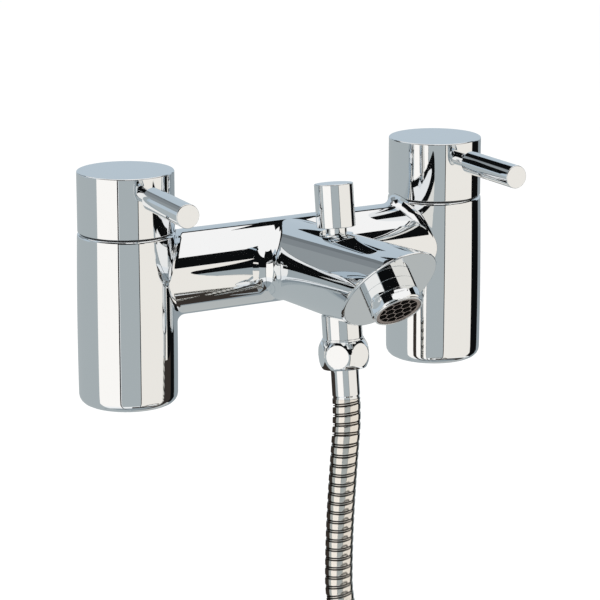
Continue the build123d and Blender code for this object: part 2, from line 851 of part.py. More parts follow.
def coil_path():
    """Put-away turns: in along the upper layer, down a layer, out along the lower one, up to the nut."""
    step = 2 * hose_radius + coil_gap
    heading = coil_heading
    inward = Vector(heading.Y, -heading.X, 0)
    point = Vector(*hose_route[-1])
    straight_end = point + heading * (2 * hose_radius)
    edges = [Edge.make_line(point, straight_end)]
    point = straight_end
    for layer in coil_layers:
        radius = coil_outer_turn_radius - layer * step / 2
        drop = step if layer == max(coil_layers) else 0
        middle = point + inward * radius + heading * radius - Vector(0, 0, drop / 2)
        after = point + inward * (2 * radius) - Vector(0, 0, drop)
        middle_way = (inward * radius - Vector(0, 0, drop / 2)).normalized()
        edges += biarc(point, heading, middle, middle_way)
        edges += biarc(middle, middle_way, after, -heading)
        point = after
        heading = -heading
        inward = -inward
    lead_end = point + heading * end_lead_length
    edges.append(Edge.make_line(point, lead_end))
    point = lead_end
    rise = cone_nut_mouth_radius - hose_radius
    after = point + heading * end_rise_length + Vector(0, 0, rise)
    edges += biarc(point, heading, after, heading)
    end = after + heading * (2 * hose_radius)
    edges.append(Edge.make_line(after, end))
    return Wire(edges), heading


def least_gap(path):
    """Least clear distance between stretches of the coil that don't follow on each other."""
    count = int(path.length / hose_radius * gap_check_steps)
    points = [path @ (i / count) for i in range(count + 1)]
    least = path.length
    for i in range(count + 1 - gap_check_skips):
        for j in range(i + gap_check_skips, count + 1):
            least = min(least, (points[i] - points[j]).length)
    return least - 2 * hose_radius


def hose_coil():
    path, _ = coil_path()
    start_plane = Plane(path @ 0, x_dir=(0, 0, 1), z_dir=path % 0)
    coil = sweep(start_plane * Circle(hose_radius), path=path)
    length = path.length
    print("coil length", round(length, 1), "least gap", round(least_gap(path), 2))
    print("coil volume share", round(coil.volume / (pi * hose_radius**2 * length), 4))
    return coil


def end_plane():
    """Plane at the hose's far end, its Z pointing on along the hose."""
    path, heading = coil_path()
    return Plane(path @ 1, x_dir=(0, 0, 1), z_dir=heading)


end_flange_low = ferrule_length
end_flange_high = end_flange_low + tail_flange_thickness
cone_ledge_high = end_flange_low - face_film
cone_ledge_low = cone_ledge_high - cone_ledge_thickness
cone_thread_low = end_flange_high + cone_washer_thickness
cone_mouth = cone_thread_low + cone_thread_length


def end_tail():
    return end_plane() * tail(end_flange_low, end_flange_high, 0)


def end_ferrule():
    return end_plane() * ferrule(cone_ledge_low - face_film, 0)


def cone_nut():
    """Long conical nut that spins on the ferrule and tail and takes a handset's thread."""
    low = cone_mouth - cone_nut_length
    sleeve_bore = hose_radius + running_clearance
    ledge_bore = tail_radius + running_clearance
    flange_bore = tail_flange_radius + running_clearance
    return end_plane() * turned(
        (sleeve_bore, low),
        (cone_nut_small_radius, low),
        (cone_nut_mouth_radius, cone_mouth - cone_nut_rim_length),
        (cone_nut_mouth_radius, cone_mouth),
        (cone_thread_radius, cone_mouth),
        (cone_thread_radius, cone_thread_low),
        (flange_bore, cone_thread_low),
        (flange_bore, cone_ledge_high),
        (ledge_bore, cone_ledge_high),
        (ledge_bore, cone_ledge_low),
        (sleeve_bore, cone_ledge_low),
    )


def cone_washer():
    high = end_flange_high + cone_washer_thickness
    return end_plane() * ring(tail_flange_radius, hose_washer_bore_radius, end_flange_high, high)


# Pieces

save(body_casting(), "body_casting")

for side, x in pillar_places.items():
    turn = lever_turns[side]
    pieces = {
        "base_gasket": base_gasket(),
        "seat_seal": seat_seal(),
        "fixed_disc": fixed_disc(),
        "moving_disc": moving_disc(),
        "spindle": spindle(),
        "valve_body": valve_body(),
        "spindle_seal": spindle_seal(),
        "body_seal": body_seal(),
        "spindle_clip": spindle_clip(),
        "glide_ring": glide_ring(),
        "spline_adaptor": spline_adaptor(),
        "handle_head": handle_head(turn),
        "lever": lever(turn),
        "grub_screw": grub_screw(),
    }
    for name, piece in pieces.items():
        save(Pos(x, 0, 0) * piece, side + "_" + name)

save(diverter_knob(), "diverter_knob")
save(diverter_gland(), "diverter_gland")
save(gland_seal(), "gland_seal")
save(diverter_stem(), "diverter_stem")
save(diverter_seal(lower_seal_low, lower_seal_top), "diverter_lower_seal")
save(diverter_seal(plate_top, upper_seal_top), "diverter_upper_seal")
save(stem_nut(), "stem_nut")
save(return_spring(), "return_spring")
save(shower_outlet(), "shower_outlet")
save(outlet_seal(), "outlet_seal")
save(aerator_ring(), "aerator_ring")
save(aerator_insert(), "aerator_insert")
save(aerator_washer(), "aerator_washer")
save(hose_union(), "hose_union")
save(hose_washer(), "hose_washer")
save(diverter_plane * tail(tail_flange_low, washer_low_level, ferrule_low_level), "hose_tail")
save(diverter_plane * ferrule(ferrule_top_level, ferrule_low_level), "hose_ferrule")
save(hose_run(), "hose_run")
save(hose_coil(), "hose_coil")
save(end_tail(), "end_tail")
save(end_ferrule(), "end_ferrule")
save(cone_nut(), "cone_nut")
save(cone_washer(), "cone_washer")
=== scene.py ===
# %% [markdown]
# # A chromed bath shower mixer
# A mixer like this is cast in brass, turned, polished to a mirror and plated. Almost all of what the eye
# sees on it is the room around it, so its surfaces have to be very smooth and the room has to be built
# with care. The CAD model gives every piece its true place. The shown pieces are made again here with
# fine, even meshes, because a mirror finish shows the smallest facet.

# %% Open the CAD model
import json
import math

import bmesh
import bpy
from mathutils import Matrix, Vector


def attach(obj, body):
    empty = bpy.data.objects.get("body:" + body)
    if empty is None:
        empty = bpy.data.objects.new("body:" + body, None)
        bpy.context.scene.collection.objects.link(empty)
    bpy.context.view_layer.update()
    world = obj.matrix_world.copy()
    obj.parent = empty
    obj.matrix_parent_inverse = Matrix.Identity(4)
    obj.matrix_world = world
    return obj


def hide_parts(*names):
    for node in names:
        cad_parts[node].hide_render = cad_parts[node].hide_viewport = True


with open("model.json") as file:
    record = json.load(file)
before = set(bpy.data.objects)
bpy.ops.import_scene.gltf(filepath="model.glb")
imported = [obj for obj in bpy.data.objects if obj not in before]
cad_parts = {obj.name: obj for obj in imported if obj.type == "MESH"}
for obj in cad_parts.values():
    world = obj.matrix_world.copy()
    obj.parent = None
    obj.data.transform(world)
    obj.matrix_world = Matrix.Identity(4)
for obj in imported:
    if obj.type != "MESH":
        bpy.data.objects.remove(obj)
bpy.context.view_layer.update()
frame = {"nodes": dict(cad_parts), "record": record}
MM = 0.001
print("CAD nodes:", len(frame["nodes"]))

# %% [markdown]
# Shader maths reads best when it is written as maths. This small class holds one output of a node, and
# each operator adds the node that does its work.

# %% Shader maths


class Wire:
    """One output socket of a material's node tree, with the usual operators."""

    def __init__(self, tree, socket):
        self.tree = tree
        self.socket = socket

    def node(self, kind, settings=None, inputs=None, output=0):
        """Adds a node of that type and gives back the wire that leaves it."""
        made = self.tree.nodes.new(kind)
        for name, value in (settings or {}).items():
            setattr(made, name, value)
        for key, value in (inputs or {}).items():
            if isinstance(value, Wire):
                self.tree.links.new(value.socket, made.inputs[key])
            else:
                made.inputs[key].default_value = value
        return Wire(self.tree, made.outputs[output])

    def maths(self, operation, first, second):
        return self.node("ShaderNodeMath", {"operation": operation}, {0: first, 1: second})

    def __add__(self, other):
        return self.maths("ADD", self, other)

    def __sub__(self, other):
        return self.maths("SUBTRACT", self, other)

    def __mul__(self, other):
        return self.maths("MULTIPLY", self, other)

    def __radd__(self, other):
        return self.maths("ADD", other, self)

    def __rsub__(self, other):
        return self.maths("SUBTRACT", other, self)

    def __rmul__(self, other):
        return self.maths("MULTIPLY", other, self)


def seen(red, green, blue):
    """Linear colour of one written as 0 to 255."""
    shares = [value / 255 for value in (red, green, blue)]
    linear = [s / 12.92 if s <= 0.04045 else ((s + 0.055) / 1.055) ** 2.4 for s in shares]
    return (*linear, 1)


def finish_named(name):
    """A new material with its main shader and a wire for its object coordinates."""
    made = bpy.data.materials.new(name)
    made.use_nodes = True
    tree = made.node_tree
    shader = tree.nodes["Principled BSDF"]
    coordinates = tree.nodes.new("ShaderNodeTexCoord")
    return made, shader, Wire(tree, coordinates.outputs["Object"])


print("middle grey as light:", round(seen(128, 128, 128)[0], 3))

# %% [markdown]
# Chrome plate is almost a perfect mirror, a little blue. Polishing leaves a faint unevenness that bends
# long reflections, and fingers and water leave patches that are slightly less sharp. Noise on the
# roughness gives the patches, and a very weak bump gives the unevenness.

# %% Chrome


def chrome_finish(name, tint, smooth, patches, waviness):
    """Mirror plate with faint patches and a weak swell."""
    made, shader, place = finish_named(name)
    shader.inputs["Base Color"].default_value = tint
    shader.inputs["Metallic"].default_value = 1
    cloud = place.node("ShaderNodeTexNoise", None, {"Vector": place, "Scale": 38, "Detail": 4})
    place.tree.links.new((smooth + patches * cloud).socket, shader.inputs["Roughness"])
    swell = place.node("ShaderNodeTexNoise", None, {"Vector": place, "Scale": 26, "Detail": 1})
    bump = place.node("ShaderNodeBump", None, {"Height": swell, "Strength": waviness, "Distance": 0.001})
    place.tree.links.new(bump.socket, shader.inputs["Normal"])
    return made


chrome = chrome_finish("polished chrome", seen(236, 239, 241), 0.012, 0.02, 0.02)
print("finish:", chrome.name)

# %% [markdown]
# The hose is wound from a polished steel strip. Its ribs show the bright steel, and the grooves between them
# are painted dark as shade and made dull by a higher roughness. The mesh of the hose says how deep each point
# lies, so one finish can pass from the one look to the other.

# %% Hose strip


def strip_finish(name, rib_colour, groove_shade_colour):
    """Steel strip: bright on its ribs, with painted shade dark down in the grooves, where the mesh says so."""
    made, shader, place = finish_named(name)
    shader.inputs["Metallic"].default_value = 1
    depth = place.node("ShaderNodeAttribute", {"attribute_name": "groove"}, None, 2)
    # Painted shade: the depth in the groove mixes the dark groove colour in.
    both = place.node("ShaderNodeMix", {"data_type": "RGBA"}, {0: depth, 6: rib_colour, 7: groove_shade_colour}, 2)
    place.tree.links.new(both.socket, shader.inputs["Base Color"])
    wear = place.node("ShaderNodeTexNoise", None, {"Vector": place, "Scale": 320, "Detail": 3})
    place.tree.links.new((0.07 + 0.06 * wear + 0.3 * depth).socket, shader.inputs["Roughness"])
    bump = place.node("ShaderNodeBump", None, {"Height": wear, "Strength": 0.05, "Distance": 0.0002})
    place.tree.links.new(bump.socket, shader.inputs["Normal"])
    return made


# The second colour is painted shade for the grooves of the strip.
strip_steel = strip_finish("hose strip", seen(230, 227, 221), seen(84, 76, 70))
print("finish:", strip_steel.name)

# %% [markdown]
# Inside the mixer are brass, steel, ceramic, rubber and plastic. Hardly any of it can be seen from outside,
# so one simple finish with a fine grain does for all. Then every CAD node gets the finish of its slot.

# %% Finishes of the inner pieces


def plain_finish(name, colour, roughness, metallic, grain):
    """One colour with a fine grain in its roughness."""
    made, shader, place = finish_named(name)
    shader.inputs["Base Color"].default_value = colour
    shader.inputs["Metallic"].default_value = metallic
    speckle = place.node("ShaderNodeTexNoise", None, {"Vector": place, "Scale": 900, "Detail": 3})
    place.tree.links.new((roughness + grain * speckle).socket, shader.inputs["Roughness"])
    bump = place.node("ShaderNodeBump", None, {"Height": speckle, "Strength": 0.1, "Distance": 0.0002})
    place.tree.links.new(bump.socket, shader.inputs["Normal"])
    return made


turned_brass = plain_finish("turned brass", seen(214, 180, 112), 0.25, 1, 0.15)
plain_steel = plain_finish("plain steel", seen(178, 180, 182), 0.3, 1, 0.1)
lapped_ceramic = plain_finish("lapped ceramic", seen(238, 236, 230), 0.12, 0, 0.05)
black_rubber = plain_finish("black rubber", seen(26, 26, 27), 0.6, 0, 0.2)
grey_rubber = plain_finish("grey rubber", seen(60, 60, 61), 0.65, 0, 0.2)
brown_plastic = plain_finish("brown plastic", seen(104, 95, 90), 0.38, 0, 0.15)
white_plastic = plain_finish("white plastic", seen(226, 225, 220), 0.35, 0, 0.1)
dark_plastic = plain_finish("dark plastic", seen(34, 34, 36), 0.4, 0, 0.1)
slot_finishes = {
    "chrome": chrome,
    "hose_metal": strip_steel,
    "brass": turned_brass,
    "steel": plain_steel,
    "ceramic": lapped_ceramic,
    "black_rubber": black_rubber,
    "grey_rubber": grey_rubber,
    "brown_plastic": brown_plastic,
    "white_plastic": white_plastic,
    "clear_plastic": dark_plastic,
}
node_slots = {part["node"]: part["material_slot"] for part in frame["record"]["subparts"]}
for node, piece in frame["nodes"].items():
    piece.data.materials.clear()
    piece.data.materials.append(slot_finishes[node_slots[node]])
print("finishes:", len(slot_finishes))

# %% [markdown]
# Nearly every piece is turned on a lathe, so most pieces start as an outline of radii and heights that is
# spun about its axis. Real edges are never quite sharp. The outline gets a small arc at each corner that
# asks for one, and the arcs catch the thin highlights that make an edge look real.

# %% Turned pieces
TURNS = 192
ARC_STEPS = 5


def eased(corners, closed):
    """Outline with an arc at each corner (radius, height, rounding)."""
    count = len(corners)
    outline = []
    for index, (r, z, rounding) in enumerate(corners):
        here = Vector((r, z))
        if not rounding or (not closed and index in (0, count - 1)):
            outline.append(here)
            continue
        before = (Vector(corners[index - 1][:2]) - here).normalized()
        after = (Vector(corners[(index + 1) % count][:2]) - here).normalized()
        half = before.angle(after) / 2
        centre = here + (before + after).normalized() * (rounding / math.sin(half))
        start = here + before * (rounding / math.tan(half)) - centre
        sweep = start.angle_signed(here + after * (rounding / math.tan(half)) - centre)
        for step in range(ARC_STEPS + 1):
            turn = -sweep * step / ARC_STEPS
            c, s = math.cos(turn), math.sin(turn)
            outline.append(centre + Vector((start.x * c - start.y * s, start.x * s + start.y * c)))
    return outline


def lathe(corners, closed=True, turns=TURNS):
    """Mesh of an outline spun about Z, in millimetres."""
    bm = bmesh.new()
    verts = [bm.verts.new((p.x, 0, p.y)) for p in eased(corners, closed)]
    edges = [bm.edges.new(pair) for pair in zip(verts, verts[1:])]
    if closed:
        edges.append(bm.edges.new((verts[-1], verts[0])))
    bmesh.ops.spin(
        bm, geom=verts + edges, cent=(0, 0, 0), axis=(0, 0, 1), angle=2 * math.pi, steps=turns, use_merge=True
    )
    bmesh.ops.remove_doubles(bm, verts=bm.verts, dist=0.0004)
    bmesh.ops.recalc_face_normals(bm, faces=bm.faces)
    return bm


def rod(radius, low, high):
    """Plain round bar between two heights."""
    return lathe([(0, low, 0), (radius, low, 0), (radius, high, 0), (0, high, 0)], closed=False)


def set_at(bm, origin, up, side=(1, 0, 0)):
    """Moves a mesh from its own axis to a place: its Z goes along up, its X near side."""
    z = Vector(up).normalized()
    y = z.cross(Vector(side)).normalized()
    x = y.cross(z)
    place = Matrix.Translation(Vector(origin)) @ Matrix((x, y, z)).transposed().to_4x4()
    bmesh.ops.transform(bm, matrix=place, verts=bm.verts)
    return bm


print("steps round a turned piece:", TURNS)

# %% [markdown]
# Some pieces take more than a lathe. They are made of several solids, or cut with a tool. Blender's exact
# boolean does the cutting, as the mill and the drill do on the real piece.

# %% Joining and cutting


def joined(*parts):
    """One mesh of several."""
    whole = bmesh.new()
    for bm in parts:
        mesh = bpy.data.meshes.new("part")
        bm.to_mesh(mesh)
        whole.from_mesh(mesh)
        bpy.data.meshes.remove(mesh)
        bm.free()
    return whole


def carved(bm, cutter, operation="DIFFERENCE"):
    """Mesh cut by, or held within, another one."""
    objects = []
    for name, part in (("blank", bm), ("cutter", cutter)):
        mesh = bpy.data.meshes.new(name)
        part.to_mesh(mesh)
        part.free()
        made = bpy.data.objects.new(name, mesh)
        bpy.context.scene.collection.objects.link(made)
        objects.append(made)
    blank, tool = objects
    cut = blank.modifiers.new("cut", "BOOLEAN")
    cut.operation = operation
    cut.object = tool
    cut.solver = "EXACT"
    graph = bpy.context.evaluated_depsgraph_get()
    result = bpy.data.meshes.new_from_object(blank.evaluated_get(graph))
    out = bmesh.new()
    out.from_mesh(result)
    for made in objects:
        mesh = made.data
        bpy.data.objects.remove(made)
        bpy.data.meshes.remove(mesh)
    bpy.data.meshes.remove(result)
    return out


trial = carved(rod(2, 0, 1), rod(1, -1, 2))
print("faces of a trial washer:", len(trial.faces))
trial.free()

# %% [markdown]
# A finished piece is handed over in metres, with its finish, and hung on the body it rides on, and the CAD
# nodes it stands for are hidden. Smooth shading is weighted by face size, so that the broad faces stay true
# and only the small roundings turn the light.

# %% Handing over a piece


def shown(name, bm, finish, body, stands_for, sharp):
    """Puts a mesh in millimetres into the scene as a piece that rides with its body."""
    bmesh.ops.scale(bm, vec=(MM, MM, MM), verts=bm.verts)
    mesh = bpy.data.meshes.new(name)
    bm.to_mesh(mesh)
    bm.free()
    mesh.materials.append(finish)
    mesh.shade_smooth()
    mesh.set_sharp_from_angle(angle=math.radians(sharp))
    piece = bpy.data.objects.new(name, mesh)
    bpy.context.scene.collection.objects.link(piece)
    weigh = piece.modifiers.new("even shading", "WEIGHTED_NORMAL")
    weigh.keep_sharp = True
    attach(piece, body)
    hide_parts(*stands_for)
    print(name, "faces", len(mesh.polygons))
    return piece


# %% [markdown]
# The casting is two pillars, a round bridge and a round spout that melt into each other. Each is a turned
# shape on its own axis. The pillars carry their bores in the same outline, so the mixer can be turned over.

# %% Sizes of the casting
HALF_SPACING = 90.0
PILLAR_FOOT = 24.5
PILLAR_WAIST = 24.7
PILLAR_TOP = 24.1
PILLAR_HEIGHT = 86.2
FOOT_ROUNDING = 4.8
SHOULDER_ROUNDING = 1.5
INLET_RADIUS = 12.06
INLET_DEPTH = 22
GASKET_BORE = 16
GASKET_REACH = 19.5
GASKET_DEPTH = 2
PASSAGE_RADIUS = 7.5
VALVE_RADIUS = 15
VALVE_SEAT = 60
GLIDE_RADIUS = 20.5
GLIDE_SEAT = 84.2
BRIDGE_HEIGHT = 62.5
BRIDGE_RADIUS = 21.2
BRIDGE_BLEND = 5.0
SPOUT_REACH = 99.2
SPOUT_RISE = 3.6
SPOUT_ROOT = 20.4
SPOUT_END = 22.0
SPOUT_BLEND = 10.0
FACE_TILT = math.radians(44)
RIM_ROUNDING = 1.3
spout_root = Vector((0, 0, BRIDGE_HEIGHT))
face_centre = Vector((0, -SPOUT_REACH, BRIDGE_HEIGHT + SPOUT_RISE))
slope = math.asin(SPOUT_RISE / SPOUT_REACH)
spout_way = Vector((0, -math.cos(slope), math.sin(slope)))
face_way = Vector((0, -math.sin(FACE_TILT), -math.cos(FACE_TILT)))
LEAN = math.radians(7)
DIVERTER_REACH = 52.6
diverter_centre = Vector((0, -DIVERTER_REACH, BRIDGE_HEIGHT + SPOUT_RISE * DIVERTER_REACH / SPOUT_REACH))
diverter_way = Vector((0, math.sin(LEAN), math.cos(LEAN)))


def spout_radius(reach):
    """Radius of the spout, which widens toward its mouth."""
    return SPOUT_ROOT + (SPOUT_END - SPOUT_ROOT) * reach / SPOUT_REACH


crown = spout_radius(DIVERTER_REACH)
gland_seat = crown - 1.6
print("crown over the diverter", round(crown, 2))

# %% [markdown]
# A pillar's wall is very slightly barrelled. Three radii, at the foot, the waist and the top, fix one
# smooth curve, and a point of the outline is taken from it every few millimetres.

# %% Pillar


def pillar_radius(level):
    """Radius of the slightly barrelled pillar: a smooth curve through foot, waist and top."""
    t = level / PILLAR_HEIGHT
    return PILLAR_FOOT * (1 - t) * (1 - 2 * t) + PILLAR_WAIST * 4 * t * (1 - t) + PILLAR_TOP * t * (2 * t - 1)


def pillar(x):
    """Pillar with its rounded foot and shoulder, its bores and the groove of its gasket."""
    inlet = [(INLET_RADIUS, INLET_DEPTH, 0), (INLET_RADIUS, 0, 0.3)]
    groove = [
        (GASKET_BORE, 0, 0), (GASKET_BORE, GASKET_DEPTH, 0), (GASKET_REACH, GASKET_DEPTH, 0), (GASKET_REACH, 0, 0),
    ]
    wall = [(pillar_radius(level), level, 0) for level in range(8, 82, 4)]
    outside = [(PILLAR_FOOT, 0, FOOT_ROUNDING), *wall, (PILLAR_TOP, PILLAR_HEIGHT, SHOULDER_ROUNDING)]
    valve = [
        (GLIDE_RADIUS, PILLAR_HEIGHT, 0), (GLIDE_RADIUS, GLIDE_SEAT, 0), (VALVE_RADIUS, GLIDE_SEAT, 0),
        (VALVE_RADIUS, VALVE_SEAT, 0), (PASSAGE_RADIUS, VALVE_SEAT, 0), (PASSAGE_RADIUS, INLET_DEPTH, 0),
    ]
    return set_at(lathe(inlet + groove + outside + valve), (x, 0, 0), (0, 0, 1))


print("pillar's middle radius", round(pillar_radius(PILLAR_HEIGHT / 2), 2))

# %% [markdown]
# The bridge is a plain bar whose ends are lost in the pillars. The spout is a bar that widens toward its
# mouth. It is turned too long and sliced off flat at a slant, as the real casting is ground. A small bevel
# rolls the rim over, and the seat of the diverter's gland is let into the crown with a cutter.

# %% Bridge and spout
BRIDGE_END = 80
SPOUT_BLANK = 145
SPOUT_RINGS = 24
GLAND_SEAT_RADIUS = 8.5


def bridge():
    """Plain bar whose ends are hidden in the pillars."""
    return set_at(rod(BRIDGE_RADIUS, -BRIDGE_END, BRIDGE_END), (0, 0, BRIDGE_HEIGHT), (1, 0, 0), side=(0, 1, 0))


def spout():
    """Turned spout, cut off along its slanted face, with the rim rolled over and the gland's seat let in."""
    stations = [SPOUT_BLANK * i / SPOUT_RINGS for i in range(SPOUT_RINGS + 1)]
    outline = [(0, 0, 0), *((spout_radius(reach), reach, 0) for reach in stations), (0, SPOUT_BLANK, 0)]
    bm = set_at(lathe(outline, closed=False), spout_root, spout_way)
    everything = bm.verts[:] + bm.edges[:] + bm.faces[:]
    bmesh.ops.bisect_plane(bm, geom=everything, plane_co=face_centre, plane_no=face_way, clear_outer=True)
    rim = [e for e in bm.edges if e.is_boundary]
    bmesh.ops.holes_fill(bm, edges=rim)
    bmesh.ops.recalc_face_normals(bm, faces=bm.faces)
    rim = [e for e in bm.edges if all(abs((v.co - face_centre).dot(face_way)) < 0.001 for v in e.verts)]
    bmesh.ops.bevel(
        bm, geom=rim, offset=RIM_ROUNDING, segments=6, profile=0.5, affect="EDGES", offset_type="OFFSET", material=-1
    )
    seat = rod(GLAND_SEAT_RADIUS, gland_seat, crown + 6)
    return carved(bm, set_at(seat, diverter_centre, diverter_way))


print("spout's rim radius", round(spout_radius(SPOUT_REACH), 2))

# %% [markdown]
# Where two turned shapes meet, the pattern-maker runs a hollow round along the joint. A ball that rolls in
# the corner, touching both shapes, leaves exactly that round. At each station round the joint, the arc
# between the ball's two touching points becomes one rib. A point inside both shapes closes each rib, so
# that the round is a solid bead that overlaps its neighbours.

# %% Rolling-ball bead
BEAD_STEPS = 14


def bead(stations):
    """Closed bead through stations of (ball centre, first touch, second touch, inner point)."""
    bm = bmesh.new()
    loops = []
    for centre, first, second, inner in stations:
        start, end = first - centre, second - centre
        axis = start.cross(end).normalized()
        sweep = start.angle(end)
        points = [centre + Matrix.Rotation(sweep * i / BEAD_STEPS, 3, axis) @ start for i in range(BEAD_STEPS + 1)]
        loops.append([bm.verts.new(p) for p in points + [inner]])
    for here, there in zip(loops, loops[1:] + loops[:1]):
        size = len(here)
        for i in range(size):
            bm.faces.new((here[i], here[(i + 1) % size], there[(i + 1) % size], there[i]))
    bmesh.ops.recalc_face_normals(bm, faces=bm.faces)
    return bm


print("arc steps in a rib:", BEAD_STEPS)

# %% [markdown]
# Round the bridge the ball's centre can be written down, because the ball touches a level bar and an
# upright pillar. The spout leans and widens, so there the centre is searched for by halving an interval.

# %% Rounds at the joints
BRIDGE_BEAD_DEPTH = 3
SPOUT_BEAD_DEPTH = 5
SEARCH_REACH = 60


def halved(distance_from, low, high):
    """Place between low and high where a growing quantity passes zero."""
    for _ in range(50):
        middle = (low + high) / 2
        if distance_from(middle) > 0:
            high = middle
        else:
            low = middle
    return (low + high) / 2


def bridge_round(sign, stations=180):
    """Round between the bridge and one pillar."""
    made = []
    for index in range(stations):
        angle = 2 * math.pi * index / stations
        out = Vector((0, math.sin(angle), math.cos(angle)))
        level = BRIDGE_HEIGHT + (BRIDGE_RADIUS + BRIDGE_BLEND) * out.z
        across = (BRIDGE_RADIUS + BRIDGE_BLEND) * out.y
        reach = math.sqrt((pillar_radius(level) + BRIDGE_BLEND) ** 2 - across**2)
        centre = Vector((sign * (HALF_SPACING - reach), across, level))
        toward = (Vector((sign * HALF_SPACING, 0, level)) - centre).normalized()
        on_bridge = centre - out * BRIDGE_BLEND
        on_pillar = centre + toward * BRIDGE_BLEND
        inner = (on_bridge + on_pillar) / 2 + toward * BRIDGE_BEAD_DEPTH - out * BRIDGE_BEAD_DEPTH
        made.append((centre, on_bridge, on_pillar, inner))
    return bead(made)


def spout_round(stations=240):
    """Round between the spout and the bridge."""
    made = []
    side = Vector((1, 0, 0))
    up = side.cross(spout_way)
    for index in range(stations):
        angle = 2 * math.pi * index / stations
        out = side * math.cos(angle) + up * math.sin(angle)

        def ball(reach):
            return spout_root + spout_way * reach + out * (spout_radius(reach) + SPOUT_BLEND)

        def clearance(reach):
            place = ball(reach)
            return math.hypot(place.y, place.z - BRIDGE_HEIGHT) - BRIDGE_RADIUS - SPOUT_BLEND

        centre = ball(halved(clearance, 0, SEARCH_REACH))
        toward = (Vector((centre.x, 0, BRIDGE_HEIGHT)) - centre).normalized()
        on_bridge = centre + toward * SPOUT_BLEND
        on_spout = centre - out * SPOUT_BLEND
        inner = (on_bridge + on_spout) / 2 + (toward - out).normalized() * SPOUT_BEAD_DEPTH
        made.append((centre, on_bridge, on_spout, inner))
    return bead(made)


# %% [markdown]
# The seven solids overlap, and their ends are hidden in one another. So they can be gathered into one mesh
# as they are, and the polished skin over them looks like one casting.

# %% Casting
casting = joined(
    pillar(-HALF_SPACING), pillar(HALF_SPACING), bridge(), spout(), bridge_round(-1), bridge_round(1), spout_round()
)
shown("casting", casting, chrome, "mixer", ["body_casting"], sharp=30)

# %% [markdown]
# Each handle is a cap with a lever screwed in from the front. Cap, neck and grip are turned pieces too. The
# two levers don't rest quite straight ahead: each was left a few degrees off, as taps are.

# %% Handles
HEAD_LOW = 86.9
HEAD_TOP = 116.8
HEAD_RADIUS = 23.9
CAVITY_RADIUS = 20
CAVITY_TOP = 94.9
LEVER_LEVEL = 109.0
SHANK_START, SHANK_RADIUS = 12.5, 3
NECK_START, NECK_RADIUS = 22.5, 3.6
GRIP_START, GRIP_RADIUS = 35.8, 5.8
LEVER_TIP = 79
rest_turns = {"hot": 5.5, "cold": 2.4}
head_outline = [
    (0, HEAD_TOP, 0), (HEAD_RADIUS, HEAD_TOP, 0.6), (HEAD_RADIUS, HEAD_LOW, 0.25), (CAVITY_RADIUS, HEAD_LOW, 0),
    (CAVITY_RADIUS, CAVITY_TOP, 0), (0, CAVITY_TOP, 0),
]
lever_outline = [
    (0, SHANK_START, 0), (SHANK_RADIUS, SHANK_START, 0), (SHANK_RADIUS, NECK_START, 0), (NECK_RADIUS, NECK_START, 0),
    (NECK_RADIUS, GRIP_START, 0), (GRIP_RADIUS, GRIP_START, 0.6), (GRIP_RADIUS, LEVER_TIP, 0.4), (0, LEVER_TIP, 0),
]
for side, sign in (("hot", -1), ("cold", 1)):
    centre = Vector((sign * HALF_SPACING, 0, 0))
    head = set_at(lathe(head_outline, closed=False, turns=256), centre, (0, 0, 1))
    shown(side + "_head", head, chrome, side + "_handle", [side + "_handle_head"], sharp=40)
    turn = math.radians(rest_turns[side])
    pointing = (-math.sin(turn), -math.cos(turn), 0)
    lever = set_at(lathe(lever_outline, closed=False), centre + Vector((0, 0, LEVER_LEVEL)), pointing)
    shown(side + "_lever_bar", lever, chrome, side + "_handle", [side + "_lever"], sharp=40)

# %% [markdown]
# The diverter's knob stands on a flanged gland that is screwed into the spout's crown. Below the spout the
# shower outlet comes down on the same leaning axis. All three outlines give heights along that axis from
# the spout's middle, so they are turned where they stand and then leaned together.

# %% Diverter and outlet
KNOB_RADIUS = 9.6
KNOB_HEIGHT = 21.5
GLAND_BORE = 3.05
GLAND_THREAD_RADIUS = 7.45
GLAND_FLANGE_RADIUS = 8.2
GLAND_COLLAR_RADIUS = 5.2
OUTLET_BORE = 5.8
OUTLET_RADIUS = 10.45
OUTLET_THREAD_RADIUS = 9.9
OUTLET_SPIGOT_RADIUS = 8.75
OUTLET_LENGTH = 18.4
OUTLET_TOP = -7.9
gland_flange_top = gland_seat + 0.8
gland_top = gland_flange_top + 3.0
gland_low = gland_seat - 6
knob_low = gland_top + 0.3
knob_top = knob_low + KNOB_HEIGHT
outlet_seat = -crown + 1.4
outlet_end = outlet_seat - OUTLET_LENGTH
thread_top = outlet_end + 7


def on_diverter(corners, closed=False):
    """Turned piece on the diverter's leaning axis."""
    return set_at(lathe(corners, closed=closed), diverter_centre, diverter_way)


knob = on_diverter([(0, knob_low, 0), (KNOB_RADIUS, knob_low, 0.4), (KNOB_RADIUS, knob_top, 0.45), (0, knob_top, 0)])
shown("knob", knob, chrome, "diverter", ["diverter_knob"], sharp=40)
gland = on_diverter(
    [
        (GLAND_BORE, gland_low, 0), (GLAND_THREAD_RADIUS, gland_low, 0), (GLAND_THREAD_RADIUS, gland_seat, 0),
        (GLAND_FLANGE_RADIUS, gland_seat, 0), (GLAND_FLANGE_RADIUS, gland_flange_top, 0.2),
        (GLAND_COLLAR_RADIUS, gland_flange_top, 0), (GLAND_COLLAR_RADIUS, gland_top, 0), (GLAND_BORE, gland_top, 0),
    ],
    closed=True,
)
shown("gland", gland, chrome, "mixer", ["diverter_gland"], sharp=40)
outlet = on_diverter(
    [
        (OUTLET_BORE, outlet_end, 0), (OUTLET_RADIUS, outlet_end, 0.3), (OUTLET_RADIUS, thread_top, 0.3),
        (OUTLET_THREAD_RADIUS, thread_top, 0), (OUTLET_THREAD_RADIUS, outlet_seat, 0),
        (OUTLET_SPIGOT_RADIUS, outlet_seat, 0), (OUTLET_SPIGOT_RADIUS, OUTLET_TOP, 0), (OUTLET_BORE, OUTLET_TOP, 0),
    ],
    closed=True,
)
